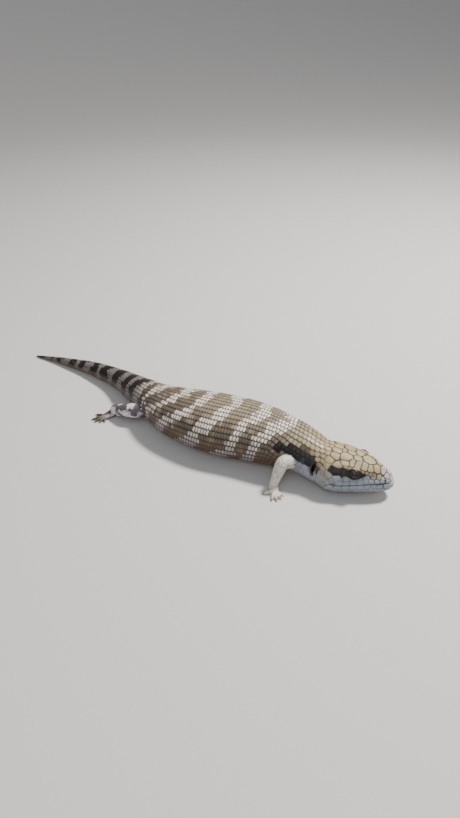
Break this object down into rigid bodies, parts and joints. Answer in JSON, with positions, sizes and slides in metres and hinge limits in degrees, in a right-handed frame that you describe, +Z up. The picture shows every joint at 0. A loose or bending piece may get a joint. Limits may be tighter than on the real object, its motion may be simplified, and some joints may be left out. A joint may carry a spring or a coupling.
{
  "type": "blue-tongued skink",
  "caption": "Life-size still model of a blue-tongued skink, creeping with its belly, feet and tail on the floor, its head low and its tail swept to one side.",
  "frame": {"origin": "on the floor, under the middle of the whole animal's bounding box", "axes": "+X forward along the trunk towards the head, +Y to the animal's left, +Z up"},
  "size_m": [0.4234, 0.1068, 0.0426],
  "materials": {
    "skin": "glossy overlapping scales in grey-brown with pale cross bands",
    "pale_skin": "satin, finely scaled, cream to pale grey",
    "eye": "wet gloss, dark brown"
  },
  "bodies": {
    "root": {"head": "skin", "neck": "skin", "trunk": "skin", "tail_base": "skin", "tail_middle": "skin", "tail_tip": "skin", "foreleg_left_upper": "pale_skin", "foreleg_left_lower": "pale_skin", "foreleg_left_hand": "pale_skin", "foreleg_right_upper": "pale_skin", "foreleg_right_lower": "pale_skin", "foreleg_right_hand": "pale_skin", "hindleg_left_upper": "skin", "hindleg_left_lower": "skin", "hindleg_left_hind_foot": "skin", "hindleg_right_upper": "skin", "hindleg_right_lower": "skin", "hindleg_right_hind_foot": "skin", "eye_left": "eye", "eye_right": "eye"}
  },
  "joints": []
}
